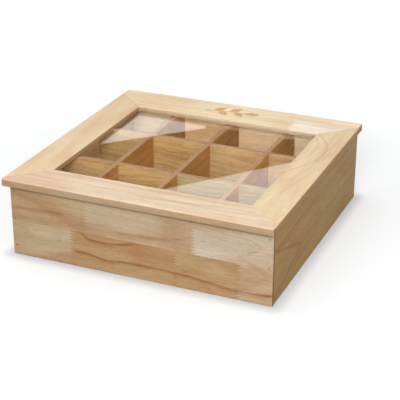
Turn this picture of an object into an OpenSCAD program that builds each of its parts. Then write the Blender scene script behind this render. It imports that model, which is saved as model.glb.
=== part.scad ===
// Tea bag organizer: a shallow rubberwood box with a hinged, glazed lid and an egg-crate of dividers.
// The origin is the centre of the box's underside, +Z is up and the front faces -Y.

/* [Box] */
// Width of the box body, left to right
box_w = 300; // [260:1:340]
// Depth of the box body, front to back
box_d = 290; // [250:1:330]
// Height of the box body, from the table to the rim
box_h = 82; // [70:1:100]
// Thickness of the four solid wood panels
panel_t = 9; // [8:0.5:12]
// Thickness of the lip on the front and back panels that covers the ends of the side panels
lip_t = 4; // [3:0.5:5]
// Radius of the eased outer edges of the box
box_arris_r = 1; // [0.5:0.1:1.5]

/* [Base] */
// Thickness of the plywood base
base_t = 4; // [3:0.5:6]
// Width of the rebate under the panels that the base sits in
base_seat = 5; // [4:0.5:6]

/* [Dividers] */
// Thickness of the dividers
divider_t = 6; // [4:0.5:7]
// How far the dividers stay below the rim
divider_drop = 1; // [0.5:0.5:5]
// Depth of the housings in the panels that hold the divider ends
housing_depth = 2; // [1:0.5:3]
// Radius of the eased top edges of the dividers
divider_arris_r = 0.8; // [0.3:0.1:1.2]

/* [Lid] */
// Thickness of the lid frame
lid_t = 8.5; // [7.5:0.5:12]
// How far the lid stands past the left side of the box
left_overhang = 6.5; // [2:0.5:12]
// How far the lid stands past the right side of the box
right_overhang = 2; // [1:0.5:12]
// How far the lid stands past the front of the box
front_overhang = 7; // [2:0.5:14]
// How far the lid stands past the back of the box, over the hinges
back_overhang = 12; // [12:0.5:16]
// Width of the left and right rails
side_rail_w = 40; // [32:1:50]
// Width of the front rail
front_rail_w = 45; // [36:1:55]
// Width of the back rail
back_rail_w = 54; // [44:1:60]
// Radius of the lid's outer corners, seen from above
lid_corner_r = 3; // [2:0.5:6]
// Radius of the lid's eased edges
lid_arris_r = 1.5; // [0.8:0.1:2]

/* [Pane] */
// Thickness of the clear pane
pane_t = 1.8; // [1.5:0.1:2]
// Depth of the rebate that the pane sits in, from the underside of the lid
rebate_depth = 2.8; // [2.7:0.1:3.5]
// Width of that rebate
rebate_w = 6; // [5:0.5:8]
// Radius of the wire sprigs that hold the pane up in its rebate
sprig_r = 0.35; // [0.3:0.05:0.4]
// Length of a sprig
sprig_l = 9; // [7:0.5:12]

/* [Mitre dowels] */
// Radius of the dowels across the mitres
dowel_r = 2; // [1.5:0.25:2.5]
// Length of a dowel
dowel_l = 24; // [16:1:28]
// Distance of the inner dowel from the inner end of its mitre
dowel_first = 16; // [15:1:20]
// Distance between the two dowels of a mitre
dowel_step = 20; // [12:1:20]

/* [Hinges] */
// Length of a hinge along its pin
hinge_l = 25; // [20:1:40]
// Distance from the side of the box to the outer end of a hinge
hinge_inset = 42; // [30:1:70]
// Thickness of a hinge leaf
leaf_t = 0.9; // [0.7:0.1:1]
// Width of a leaf, from the pin's axis to its free edge
leaf_w = 9.2; // [8:0.1:9.5]
// Radius of the hinge knuckles
knuckle_r = 2; // [1.8:0.1:2.2]
// Number of knuckles of a hinge
knuckles = 5; // [3:2:5]
// Radius of the hinge pin
pin_r = 1; // [0.8:0.1:1.2]
// Radius of the hinge screws' shanks
screw_r = 0.8; // [0.6:0.1:0.9]
// Radius of the hinge screws' countersunk heads
screw_head_r = 1.6; // [1.3:0.1:1.8]
// Length of a hinge screw
screw_l = 6.5; // [5:0.5:7]
// Distance between the two screws of a leaf
screw_step = 15; // [10:1:16]

/* [Brads] */
// Number of brads in each corner of the box
corner_brad_count = 3; // [2:1:4]
// Distance of the top brad from the rim, and of the bottom brad from the base
corner_brad_end = 7; // [6:0.5:12]
// Radius of a brad's shank
brad_r = 0.6; // [0.5:0.05:0.8]
// Radius of a brad's head
brad_head_r = 0.9; // [0.8:0.05:1]
// Length of a brad
brad_l = 20; // [14:1:26]
// How deep a brad's head is punched below the wood
brad_set = 0.6; // [0.3:0.1:1]

/* [Fits] */
// Gap on each side of a glued or housed joint
joint_gap = 0.15; // [0.05:0.05:0.3]
// Gap all round the pane in its rebate
pane_gap = 0.5; // [0.3:0.1:1]
// Radial running clearance between the hinge pin and its knuckles
pin_clearance = 0.05; // [0.02:0.01:0.1]
// Radial clearance round brads, sprigs, screws and dowels in their holes
hole_clearance = 0.05; // [0.02:0.01:0.1]
// Gap between hinge knuckles, and between a knuckle and the wood
knuckle_gap = 0.3; // [0.2:0.05:0.4]

/* [Hidden] */
$fn = 48;

// Overshoot of a cutter past the face that it cuts
cut = 1;

// Cells from left to right and from front to back: three long dividers and two cross dividers part them
columns = 4;
rows = 3;

panel_wood = "burlywood";
lid_wood = "wheat";
divider_wood = "tan";

half_w = box_w / 2;
half_d = box_d / 2;
inner_w = box_w - 2 * panel_t;
inner_d = box_d - 2 * panel_t;
side_l = box_d - 2 * lip_t;

// Egg-crate: pitch of the cells and centres of the dividers
column_pitch = (inner_w + divider_t) / columns;
row_pitch = (inner_d + divider_t) / rows;
long_x = [for (i = [1 : columns - 1]) -inner_w / 2 - divider_t / 2 + i * column_pitch];
cross_y = [for (i = [1 : rows - 1]) -inner_d / 2 - divider_t / 2 + i * row_pitch];
column_mid = [for (i = [0 : columns - 1]) -inner_w / 2 - divider_t / 2 + (i + 0.5) * column_pitch];
row_mid = [for (i = [0 : rows - 1]) -inner_d / 2 - divider_t / 2 + (i + 0.5) * row_pitch];
divider_h = box_h - base_t - divider_drop;
housing_w = divider_t + 2 * joint_gap;
divider_end = housing_depth - joint_gap;

// Lid outline and window
lid_x0 = -half_w - left_overhang;
lid_x1 = half_w + right_overhang;
lid_y0 = -half_d - front_overhang;
lid_y1 = half_d + back_overhang;
lid_w = lid_x1 - lid_x0;
lid_d = lid_y1 - lid_y0;
lid_top = box_h + lid_t;
win_x0 = lid_x0 + side_rail_w;
win_x1 = lid_x1 - side_rail_w;
win_y0 = lid_y0 + front_rail_w;
win_y1 = lid_y1 - back_rail_w;
mitre_w = min(side_rail_w, front_rail_w, back_rail_w);
pane_z = box_h + rebate_depth - pane_t;
pane_margin = rebate_w - pane_gap;

// Hinge axis: behind the back panel and under the lid's back overhang
axis_y = half_d + knuckle_r + knuckle_gap;
axis_z = box_h - knuckle_r - knuckle_gap;
hinge_x = [-half_w + hinge_inset, half_w - hinge_inset - hinge_l];
knuckle_l = hinge_l / knuckles;
leaf_start = knuckle_r + knuckle_gap;
screw_u = (leaf_start + leaf_w) / 2;
pin_head_l = 0.5;
pin_head_r = (pin_r + knuckle_r) / 2;

// Brads: the corner brads go through the lip into the middle of the side panel's end
corner_brad_x = half_w - panel_t / 2;
corner_brad_low = base_t + corner_brad_end;
corner_brad_high = box_h - corner_brad_end;
corner_brad_step = (corner_brad_high - corner_brad_low) / (corner_brad_count - 1);
brad_head_l = 0.6;
base_brad_in = panel_t - base_seat / 2;

// A rectangle from the origin with four round corners
module rounded_rect(w, h, r) {
    translate([r, 0]) square([w - 2 * r, h]);
    translate([0, r]) square([w, h - 2 * r]);
    for (x = [r, w - r], y = [r, h - r]) translate([x, y]) circle(r);
}

// Cutter that eases an edge along +X, with the wood towards -Y and -Z of the origin
module arris_cut(length, r) {
    rotate([90, 0, 90]) linear_extrude(length) difference() {
        translate([-r, -r]) square(r + cut);
        translate([-r, -r]) circle(r);
    }
}

// A brad along +Z: its head starts at the origin
module brad() {
    cylinder(h = brad_head_l, r = brad_head_r);
    cylinder(h = brad_l, r = brad_r);
}

// Hole for a brad that is punched in from the origin along +Z
module brad_hole() {
    translate([0, 0, -cut]) cylinder(h = cut + brad_set + brad_head_l, r = brad_head_r + hole_clearance);
    cylinder(h = brad_set + brad_l + joint_gap, r = brad_r + hole_clearance);
}

// Puts its children at each corner brad, on the front face or on the back one, pointing into the box
module at_corner_brads(back = false) {
    for (side = [-1, 1], i = [0 : corner_brad_count - 1])
        translate([side * corner_brad_x, (back ? 1 : -1) * half_d, corner_brad_low + i * corner_brad_step])
            rotate([back ? 90 : -90, 0, 0]) children();
}

// Puts its children at each base brad, on the underside, pointing up
module at_base_brads() {
    for (x = column_mid, side = [-1, 1]) translate([x, side * (half_d - base_brad_in), 0]) children();
    for (y = row_mid, side = [-1, 1]) translate([side * (half_w - base_brad_in), y, 0]) children();
}

// Puts its children at each screw of the box leaves, on the leaf's outer face, pointing into the box
module at_box_leaf_screws() {
    for (x = hinge_x, s = [-1, 1])
        translate([x + hinge_l / 2 + s * screw_step / 2, half_d + leaf_t, axis_z - screw_u])
            rotate([90, 0, 0]) children();
}

// Puts its children at each screw of the lid leaves, on the leaf's underside, pointing up into the lid
module at_lid_leaf_screws() {
    for (x = hinge_x, s = [-1, 1])
        translate([x + hinge_l / 2 + s * screw_step / 2, axis_y + screw_u, box_h - leaf_t]) children();
}

// A countersunk screw along +Z, with its head flush at the origin
module screw() {
    cylinder(h = leaf_t, r1 = screw_head_r, r2 = screw_r);
    cylinder(h = screw_l, r = screw_r);
}

module screw_hole() {
    translate([0, 0, leaf_t]) cylinder(h = screw_l - leaf_t + joint_gap, r = screw_r + hole_clearance);
}

// Front or back panel: the full width of the box, rebated at both ends over the side panels
module end_panel(back = false) {
    mirror([0, back ? 1 : 0, 0]) difference() {
        translate([-half_w, -half_d, 0]) cube([box_w, panel_t, box_h]);
        for (side = [0, 1]) mirror([side, 0, 0]) {
            translate([half_w - panel_t - joint_gap, -half_d + lip_t, -cut])
                cube([panel_t + joint_gap + cut, panel_t, box_h + 2 * cut]);
            translate([half_w, -half_d, -cut]) rotate([180, -90, 0]) arris_cut(box_h + 2 * cut, box_arris_r);
            translate([half_w, -half_d - cut, 0]) rotate([180, 0, 90]) arris_cut(panel_t + cut, box_arris_r);
        }
        translate([-half_w, -half_d + panel_t - base_seat, -cut]) cube([box_w, base_seat + cut, base_t + cut]);
        for (x = long_x) translate([x - housing_w / 2, -half_d + panel_t - housing_depth, base_t - cut])
            cube([housing_w, housing_depth + cut, box_h]);
        translate([-half_w, -half_d, 0]) rotate([180, 0, 0]) arris_cut(box_w, box_arris_r);
    }
}

module front_panel() {
    color(panel_wood) difference() {
        end_panel();
        at_corner_brads() brad_hole();
        at_base_brads() brad_hole();
    }
}

module back_panel() {
    color(panel_wood) difference() {
        end_panel(back = true);
        at_corner_brads(back = true) brad_hole();
        at_base_brads() brad_hole();
        at_box_leaf_screws() screw_hole();
    }
}

// Right panel, which stands in the rebates of the front and back panels; the left one is its mirror image
module side_panel() {
    difference() {
        translate([half_w - panel_t, -side_l / 2, 0]) cube([panel_t, side_l, box_h]);
        translate([half_w - panel_t - cut, -half_d, -cut]) cube([base_seat + cut, box_d, base_t + cut]);
        for (y = cross_y) translate([half_w - panel_t - cut, y - housing_w / 2, base_t - cut])
            cube([housing_depth + cut, housing_w, box_h]);
        translate([half_w, -half_d - cut, 0]) rotate([180, 0, 90]) arris_cut(box_d + 2 * cut, box_arris_r);
        at_corner_brads() brad_hole();
        at_corner_brads(back = true) brad_hole();
        at_base_brads() brad_hole();
    }
}

module right_panel() {
    color(panel_wood) side_panel();
}

module left_panel() {
    color(panel_wood) mirror([1, 0, 0]) side_panel();
}

module base_panel() {
    base_w = inner_w + 2 * base_seat - 2 * joint_gap;
    base_d = inner_d + 2 * base_seat - 2 * joint_gap;
    color("tan") difference() {
        translate([-base_w / 2, -base_d / 2, 0]) cube([base_w, base_d, base_t - joint_gap]);
        at_base_brads() brad_hole();
    }
}

// A divider board along +X, centred on the origin, with eased top edges
module divider_board(length) {
    translate([-length / 2, -divider_t / 2, base_t]) difference() {
        cube([length, divider_t, divider_h]);
        translate([-cut, divider_t, divider_h]) arris_cut(length + 2 * cut, divider_arris_r);
        translate([-cut, 0, divider_h]) mirror([0, 1, 0]) arris_cut(length + 2 * cut, divider_arris_r);
    }
}

// Long divider, front to back: half-lapped from below over the cross dividers
module long_divider(x) {
    color(divider_wood) translate([x, 0, 0]) difference() {
        rotate([0, 0, 90]) divider_board(inner_d + 2 * divider_end);
        for (y = cross_y) translate([-divider_t, y - housing_w / 2, base_t - cut])
            cube([2 * divider_t, housing_w, divider_h / 2 + cut + joint_gap]);
    }
}

// Cross divider, left to right: half-lapped from above under the long dividers
module cross_divider(y) {
    color(divider_wood) translate([0, y, 0]) difference() {
        divider_board(inner_w + 2 * divider_end);
        for (x = long_x) translate([x - housing_w / 2, -divider_t, base_t + divider_h / 2])
            cube([housing_w, 2 * divider_t, divider_h]);
    }
}

module corner_brads() {
    color("dimgray") for (back = [false, true]) at_corner_brads(back) translate([0, 0, brad_set]) brad();
}

module base_brads() {
    color("dimgray") at_base_brads() translate([0, 0, brad_set]) brad();
}

// The whole lid as one board with eased outer edges, from which each rail takes its part
module lid_blank() {
    intersection() {
        translate([lid_x0, lid_y0, box_h]) linear_extrude(lid_t) rounded_rect(lid_w, lid_d, lid_corner_r);
        translate([lid_x0, 0, 0]) rotate([90, 0, 90]) linear_extrude(lid_w)
            translate([lid_y0, box_h]) rounded_rect(lid_d, lid_t, lid_arris_r);
        translate([0, lid_y1, 0]) rotate([90, 0, 0]) linear_extrude(lid_d)
            translate([lid_x0, box_h]) rounded_rect(lid_w, lid_t, lid_arris_r);
    }
}

// Dowels across the four mitres, each along its own 45 degree axis
module at_mitre_dowels() {
    for (cx = [0, 1], cy = [0, 1], i = [0, 1])
        translate([cx ? win_x1 : win_x0, cy ? win_y1 : win_y0, box_h + lid_t / 2])
            mirror([cx, 0, 0]) mirror([0, cy, 0])
                rotate([0, 0, -135]) translate([dowel_first + i * dowel_step, 0, 0])
                    rotate([90, 0, 0]) children();
}

// Sprigs: driven level into the rebate's walls, just under the pane
module at_sprigs() {
    for (x = [win_x0 + rebate_w, (win_x0 + win_x1) / 2, win_x1 - rebate_w], side = [0, 1])
        translate([x, side ? win_y1 + rebate_w : win_y0 - rebate_w, pane_z - sprig_r - hole_clearance])
            rotate([side ? -90 : 90, 0, 0]) children();
    for (y = [win_y0 + (win_y1 - win_y0) / 3, win_y1 - (win_y1 - win_y0) / 3], side = [0, 1])
        translate([side ? win_x1 + rebate_w : win_x0 - rebate_w, y, pane_z - sprig_r - hole_clearance])
            rotate([0, side ? 90 : -90, 0]) children();
}

// One rail: its part of the blank, less the pane's rebate, the dowel holes and the sprig holes
module rail(outline) {
    difference() {
        intersection() {
            lid_blank();
            translate([0, 0, box_h - cut]) linear_extrude(lid_t + 2 * cut) polygon(outline);
        }
        translate([win_x0 - rebate_w, win_y0 - rebate_w, box_h - cut])
            cube([win_x1 - win_x0 + 2 * rebate_w, win_y1 - win_y0 + 2 * rebate_w, rebate_depth + cut]);
        at_mitre_dowels() cylinder(h = dowel_l + 2 * joint_gap, r = dowel_r + hole_clearance, center = true);
        at_sprigs() cylinder(h = 2 * sprig_l / 3, r = sprig_r + hole_clearance);
    }
}

module lid_front_rail() {
    color(lid_wood) difference() {
        rail([[win_x0, win_y0], [lid_x0, win_y0 - side_rail_w], [lid_x0, lid_y0],
            [lid_x1, lid_y0], [lid_x1, win_y0 - side_rail_w], [win_x1, win_y0]]);
        translate([win_x0 - lid_arris_r, win_y0, lid_top]) arris_cut(win_x1 - win_x0 + 2 * lid_arris_r, lid_arris_r);
    }
}

module lid_back_rail() {
    color(lid_wood) difference() {
        rail([[win_x0, win_y1], [lid_x0, win_y1 + side_rail_w], [lid_x0, lid_y1],
            [lid_x1, lid_y1], [lid_x1, win_y1 + side_rail_w], [win_x1, win_y1]]);
        translate([win_x0 - lid_arris_r, win_y1, lid_top]) mirror([0, 1, 0])
            arris_cut(win_x1 - win_x0 + 2 * lid_arris_r, lid_arris_r);
        at_lid_leaf_screws() screw_hole();
    }
}

module lid_left_rail() {
    color(lid_wood) difference() {
        rail([[win_x0, win_y0], [win_x0, win_y1], [lid_x0, win_y1 + side_rail_w], [lid_x0, win_y0 - side_rail_w]]);
        translate([win_x0, win_y1 + lid_arris_r, lid_top]) rotate([0, 0, -90])
            arris_cut(win_y1 - win_y0 + 2 * lid_arris_r, lid_arris_r);
    }
}

module lid_right_rail() {
    color(lid_wood) difference() {
        rail([[win_x1, win_y0], [win_x1, win_y1], [lid_x1, win_y1 + side_rail_w], [lid_x1, win_y0 - side_rail_w]]);
        translate([win_x1, win_y0 - lid_arris_r, lid_top]) rotate([0, 0, 90])
            arris_cut(win_y1 - win_y0 + 2 * lid_arris_r, lid_arris_r);
    }
}

module mitre_dowels() {
    color("peru") at_mitre_dowels() cylinder(h = dowel_l, r = dowel_r, center = true);
}

module lid_pane() {
    color("lightcyan", 0.4) translate([win_x0 - pane_margin, win_y0 - pane_margin, pane_z])
        cube([win_x1 - win_x0 + 2 * pane_margin, win_y1 - win_y0 + 2 * pane_margin, pane_t]);
}

module pane_sprigs() {
    color("silver") at_sprigs() translate([0, 0, -sprig_l / 3]) cylinder(h = sprig_l - joint_gap, r = sprig_r);
}

// One hinge leaf, lying in the XY plane below z = 0 with its knuckles along X at the origin.
// The leaf with lid = false has the first, third and last knuckles.
module hinge_leaf(lid) {
    own = [for (i = [0 : knuckles - 1]) if (i % 2 == (lid ? 1 : 0)) i];
    axis_drop = knuckle_r + knuckle_gap;
    translate([0, leaf_start, -leaf_t]) cube([hinge_l, leaf_w - leaf_start, leaf_t]);
    for (i = own) {
        x = i * knuckle_l + (i > 0 ? knuckle_gap / 2 : 0);
        length = knuckle_l - (i > 0 && i < knuckles - 1 ? knuckle_gap : knuckle_gap / 2);
        difference() {
            union() {
                translate([x, 0, -leaf_t]) cube([length, leaf_start, leaf_t]);
                translate([x, 0, -axis_drop]) rotate([0, 90, 0]) cylinder(h = length, r = knuckle_r);
            }
            translate([x - cut, 0, -axis_drop]) rotate([0, 90, 0])
                cylinder(h = length + 2 * cut, r = pin_r + pin_clearance);
        }
    }
}

module box_leaf(x) {
    color("goldenrod") difference() {
        translate([x, half_d, axis_z]) rotate([-90, 0, 0]) mirror([0, 0, 1]) hinge_leaf(lid = false);
        at_box_leaf_screws() screw_seat();
    }
}

module lid_leaf(x) {
    color("goldenrod") difference() {
        translate([x, axis_y, box_h]) hinge_leaf(lid = true);
        at_lid_leaf_screws() screw_seat();
    }
}

// Countersunk hole through a leaf, a hole_clearance wider than its screw
module screw_seat() {
    translate([0, 0, -cut]) cylinder(h = cut, r = screw_head_r + hole_clearance);
    cylinder(h = leaf_t, r1 = screw_head_r + hole_clearance, r2 = screw_r + hole_clearance);
    cylinder(h = leaf_t + cut, r = screw_r + hole_clearance);
}

// Hinge pin with a riveted head at each end
module hinge_pin(x) {
    color("gold") translate([x, axis_y, axis_z]) rotate([0, 90, 0]) {
        cylinder(h = hinge_l, r = pin_r);
        translate([0, 0, -pin_head_l]) cylinder(h = pin_head_l, r = pin_head_r);
        translate([0, 0, hinge_l]) cylinder(h = pin_head_l, r = pin_head_r);
    }
}

module box_leaf_screws() {
    color("gold") at_box_leaf_screws() screw();
}

module lid_leaf_screws() {
    color("gold") at_lid_leaf_screws() screw();
}

front_panel();
back_panel();
left_panel();
right_panel();
base_panel();
long_divider(long_x[0]);  // long_divider_left
long_divider(long_x[1]);  // long_divider_middle
long_divider(long_x[2]);  // long_divider_right
cross_divider(cross_y[0]);  // cross_divider_front
cross_divider(cross_y[1]);  // cross_divider_rear
corner_brads();
base_brads();
lid_front_rail();
lid_back_rail();
lid_left_rail();
lid_right_rail();
mitre_dowels();
lid_pane();
pane_sprigs();
box_leaf(hinge_x[0]);  // hinge_left_box_leaf
box_leaf(hinge_x[1]);  // hinge_right_box_leaf
lid_leaf(hinge_x[0]);  // hinge_left_lid_leaf
lid_leaf(hinge_x[1]);  // hinge_right_lid_leaf
hinge_pin(hinge_x[0]);  // hinge_left_pin
hinge_pin(hinge_x[1]);  // hinge_right_pin
box_leaf_screws();
lid_leaf_screws();
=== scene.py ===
import math
import bmesh
import bpy
from mathutils import Matrix, Vector


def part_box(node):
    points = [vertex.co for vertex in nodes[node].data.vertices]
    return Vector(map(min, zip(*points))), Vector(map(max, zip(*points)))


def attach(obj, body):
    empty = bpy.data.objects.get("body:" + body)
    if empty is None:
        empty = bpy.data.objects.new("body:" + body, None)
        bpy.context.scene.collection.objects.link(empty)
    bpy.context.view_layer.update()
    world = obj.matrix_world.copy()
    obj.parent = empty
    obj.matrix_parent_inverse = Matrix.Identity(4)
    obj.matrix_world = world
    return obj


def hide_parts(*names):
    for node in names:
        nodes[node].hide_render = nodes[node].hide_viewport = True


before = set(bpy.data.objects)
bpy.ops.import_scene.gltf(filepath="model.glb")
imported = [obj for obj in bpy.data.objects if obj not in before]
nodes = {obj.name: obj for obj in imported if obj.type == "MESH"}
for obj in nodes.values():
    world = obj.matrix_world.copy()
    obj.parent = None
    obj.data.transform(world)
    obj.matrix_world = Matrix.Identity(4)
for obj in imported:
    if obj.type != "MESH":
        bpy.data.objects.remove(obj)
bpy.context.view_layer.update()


# ---- Box sides: front, back, left and right panels -----------------------
# Rubberwood boards, 9 mm thick. Front, back and left are glued up from two staves of finger-jointed
# blocks, and the right is one wide board. A lip on each end of the front and back laps over the plain
# end of a side, and is glued and nailed there.

MM = 0.001
IN_MM = (1000, 1000, 1000)  # turns a place in metres into millimetres
NO_JOINT = 400.0  # a joint or glue line this far out is past the board, so none shows
UPPER_START = 4  # the upper stave's blocks are numbered from here, the lower stave's from 0
BLOCK_STEP = 0.125  # how far apart the woods of two blocks lie on their ramp
LINE_REACH = 150.0  # a growth line is plotted this far each way along a board, in millimetres,
LINE_RISE = 100.0  # and over this height across it


def srgb(red, green, blue):
    """A finish colour as a maker's swatch gives it, 0 to 255, turned into what a shader mixes."""
    def one(value):
        value /= 255
        return value / 12.92 if value <= 0.04045 else ((value + 0.055) / 1.055) ** 2.4
    return (one(red), one(green), one(blue), 1.0)


class Field:
    """A value that changes over a surface. Arithmetic on fields makes Math nodes."""

    def __init__(self, tree, source):
        self.tree = tree
        self.socket = source.outputs[0] if isinstance(source, bpy.types.Node) else source

    def __add__(self, other):
        return maths(self.tree, "ADD", self, other)

    def __sub__(self, other):
        return maths(self.tree, "SUBTRACT", self, other)

    def __rsub__(self, other):
        return maths(self.tree, "SUBTRACT", other, self)

    def __mul__(self, other):
        return maths(self.tree, "MULTIPLY", self, other)

    def __truediv__(self, other):
        return maths(self.tree, "DIVIDE", self, other)

    def above(self, limit):
        return maths(self.tree, "GREATER_THAN", self, limit)

    def size(self):
        return maths(self.tree, "ABSOLUTE", self)

    def ease(self, start, end, low=0.0, high=1.0):
        """Goes smoothly from low to high while the field goes from start to end."""
        values = {"Value": self, "From Min": start, "From Max": end, "To Min": low, "To Max": high}
        step = place(self.tree, "ShaderNodeMapRange", values, interpolation_type="SMOOTHSTEP")
        return Field(self.tree, step)


def join(tree, value, socket):
    """Joins a field, a socket or a node's first output to an input, or fills the input."""
    if isinstance(value, Field):
        value = value.socket
    if isinstance(value, bpy.types.Node):
        value = value.outputs[0]
    if isinstance(value, bpy.types.NodeSocket):
        tree.links.new(value, socket)
    else:
        socket.default_value = value


def place(tree, kind, values=None, **settings):
    """Adds a node to a tree, sets it up and joins or fills its inputs."""
    node = tree.nodes.new(kind)
    for name, value in settings.items():
        setattr(node, name, value)
    for name, value in (values or {}).items():
        join(tree, value, node.inputs[name])
    return node


def maths(tree, operation, *values):
    node = place(tree, "ShaderNodeMath", operation=operation)
    for value, socket in zip(values, node.inputs):
        join(tree, value, socket)
    return Field(tree, node)


def vectors(tree, operation, *values):
    node = place(tree, "ShaderNodeVectorMath", operation=operation)
    for value, socket in zip(values, node.inputs):
        join(tree, value, socket)
    return node


def parts_of(tree, vector):
    split = place(tree, "ShaderNodeSeparateXYZ", {0: vector})
    return [Field(tree, out) for out in split.outputs]


def noise(tree, where, stretch, detail=2.0, roughness=0.5, gives="Fac"):
    """Noise drawn out by the three factors of stretch, per millimetre."""
    drawn = vectors(tree, "MULTIPLY", where, stretch)
    values = {"Vector": drawn, "Scale": 1.0, "Detail": detail, "Roughness": roughness}
    return Field(tree, place(tree, "ShaderNodeTexNoise", values).outputs[gives])


def blend(tree, share, under, over, mode="MIX"):
    values = {0: share, 6: under, 7: over}
    mix = place(tree, "ShaderNodeMix", values, data_type="RGBA", blend_type=mode, clamp_factor=True)
    return mix.outputs[2]


def fields_of(tree, node):
    return {out.name: Field(tree, out) for out in node.outputs}


def new_group(name, takes, gives):
    """A shader node group with named inputs (name, kind, value) and outputs (name, kind)."""
    tree = bpy.data.node_groups.new(name, "ShaderNodeTree")
    for label, kind, value in takes:
        socket = tree.interface.new_socket(label, in_out="INPUT", socket_type="NodeSocket" + kind)
        if value is not None:
            socket.default_value = value
    for label, kind in gives:
        tree.interface.new_socket(label, in_out="OUTPUT", socket_type="NodeSocket" + kind)
    taken = fields_of(tree, tree.nodes.new("NodeGroupInput"))
    return tree, taken, tree.nodes.new("NodeGroupOutput").inputs


def drop_in(tree, group, values):
    """Places a node group and fills its named inputs; returns its outputs."""
    node = place(tree, "ShaderNodeGroup", node_tree=group)
    for name, value in values.items():
        join(tree, value, node.inputs[name])
    return fields_of(tree, node)


def make_rubberwood_grain():
    """Growth rings, streaks, ray flecks and open pores of a board whose grain runs along X."""
    takes = [
        ("Board", "Vector", None), ("Facing", "Vector", None), ("Board Number", "Float", 0.0),
        ("Wood", "Color", srgb(225, 200, 165)),
        ("Figure Tint", "Color", srgb(214, 178, 132)), ("Figure Strength", "Float", 0.5),
        ("Blush Tint", "Color", srgb(238, 205, 190)), ("Blush Strength", "Float", 0.4),
        ("Pith", "Vector", (0.0, 0.0, -60.0)), ("Pith Lean", "Float", 0.1),
        ("Ring Spacing", "Float", 6.0), ("Pore Strength", "Float", 0.5), ("Contrast", "Float", 1.0),
    ]
    gives = [("Color", "Color"), ("Roughness", "Float"), ("Height", "Float")]
    tree, taken, given = new_group("rubberwood grain", takes, gives)
    board = vectors(tree, "MULTIPLY", taken["Board"], IN_MM)
    # each board is cut from its own part of the pattern
    strides = {"X": 137.1, "Y": 71.7, "Z": 39.3}
    shift = place(tree, "ShaderNodeCombineXYZ", {
        axis: taken["Board Number"] * stride for axis, stride in strides.items()})
    spot = vectors(tree, "ADD", board, shift)

    def sway(stretch, reach):
        """Pushes the rings to and fro across the grain, over a reach in millimetres."""
        swirl = noise(tree, spot, stretch, gives="Color")
        swirl = vectors(tree, "SUBTRACT", swirl, (0.5, 0.5, 0.5))
        return vectors(tree, "MULTIPLY", swirl, (0, reach, reach))

    # rings round a pith that leans out of the board, wandering as a real stem does
    wander = sway((0.006, 0.028, 0.028), 26)
    ripple = sway((0.03, 0.12, 0.12), 4)
    from_pith = vectors(tree, "SUBTRACT", board, taken["Pith"])
    from_pith = vectors(tree, "ADD", vectors(tree, "ADD", from_pith, wander), ripple)
    along, across, deep = parts_of(tree, from_pith)
    deep = deep + along * taken["Pith Lean"]
    ring = maths(tree, "SQRT", across * across + deep * deep) / taken["Ring Spacing"]
    bands = place(tree, "ShaderNodeTexNoise", {"W": ring, "Scale": 0.9, "Detail": 2.5, "Roughness": 0.6},
                  noise_dimensions="1D")
    bands = Field(tree, bands).ease(0.44, 0.68)
    late = maths(tree, "FRACT", ring)
    late = late.ease(0.5, 0.92) * late.ease(1.0, 0.93)
    figure = bands * 0.75 + late * 0.35

    # marks drawn out along the grain, from broad streaks to fine pores, and a blush
    streak = noise(tree, spot, (0.005, 0.11, 0.11), 3.0, 0.55)
    fibre = noise(tree, spot, (0.03, 0.9, 0.9), 3.0, 0.6)
    fleck = noise(tree, spot, (0.10, 1.15, 1.15), 1.0).ease(0.57, 0.70)
    pore = noise(tree, spot, (0.28, 4.2, 4.2), 1.0).ease(0.58, 0.68)
    blush = noise(tree, spot, (0.009, 0.024, 0.024)).ease(0.42, 0.62)

    # the wood's own tone, then the blush and the figure over it, then the finer marks
    colour = blend(tree, blush * taken["Blush Strength"], taken["Wood"], taken["Blush Tint"], "MULTIPLY")
    colour = blend(tree, figure * taken["Figure Strength"], colour, taken["Figure Tint"], "MULTIPLY")
    tone = streak.ease(0.25, 0.75, 0.90, 1.07) * fibre.ease(0.25, 0.75, 0.935, 1.05)
    tone = tone * (1.0 - fleck * taken["Pore Strength"] * 0.32)
    tone = tone * (1.0 - pore * taken["Pore Strength"] * 0.36)
    tone = (tone - 1.0) * taken["Contrast"] + 1.0
    end_grain = parts_of(tree, taken["Facing"])[0].size().ease(0.6, 0.9)
    # darker marks are also a little redder
    tone = place(tree, "ShaderNodeCombineXYZ", {
        "X": tone, "Y": tone * tone.ease(0.7, 1.1, 0.965, 1.01),
        "Z": tone * tone.ease(0.7, 1.1, 0.91, 1.02)})
    colour = vectors(tree, "MULTIPLY", colour, tone)
    colour = blend(tree, end_grain, colour, srgb(196, 172, 140), "MULTIPLY")
    join(tree, colour, given["Color"])
    join(tree, fibre * 0.10 + pore * 0.12 + fleck * 0.05 + end_grain * 0.12 + 0.40, given["Roughness"])
    join(tree, fibre * 0.25 + streak * 0.2 - pore * taken["Pore Strength"] * 0.8 - fleck * 0.25,
         given["Height"])
    return tree


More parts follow.
